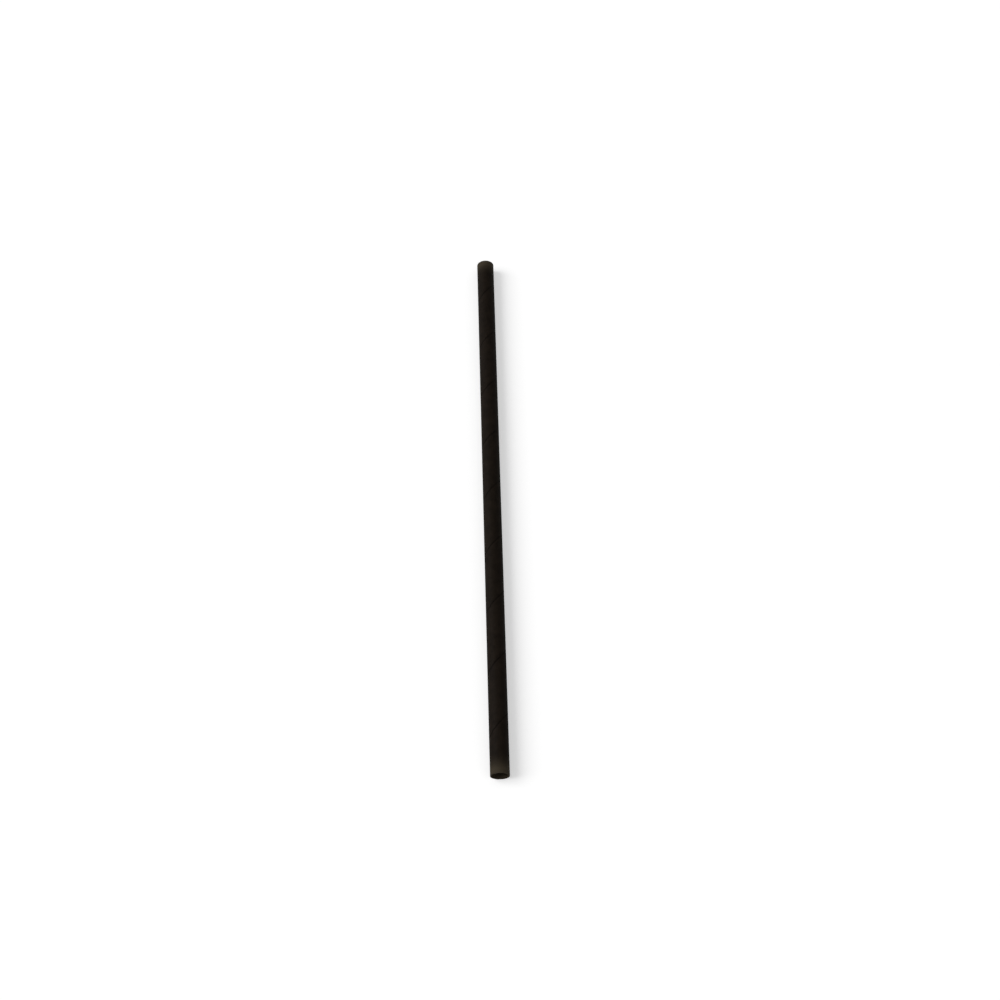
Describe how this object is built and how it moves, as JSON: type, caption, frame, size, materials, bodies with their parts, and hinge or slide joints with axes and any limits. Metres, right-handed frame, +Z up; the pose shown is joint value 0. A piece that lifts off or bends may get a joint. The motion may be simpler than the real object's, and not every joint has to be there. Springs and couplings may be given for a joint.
{
  "type": "paper drinking straw",
  "caption": "Straight round drinking straw, spiral wound from plies of black paper, open from end to end and cut square at both ends.",
  "frame": {"origin": "the point on the surface that the straw lies on, under the middle of its length", "axes": "+Y along the straw from one cut end to the other, +Z up from the surface, +X across the straw"},
  "size_m": [0.006, 0.197, 0.0059],
  "materials": {
    "black_paper": "matte"
  },
  "bodies": {
    "root": {"straw": "black_paper"}
  },
  "joints": []
}
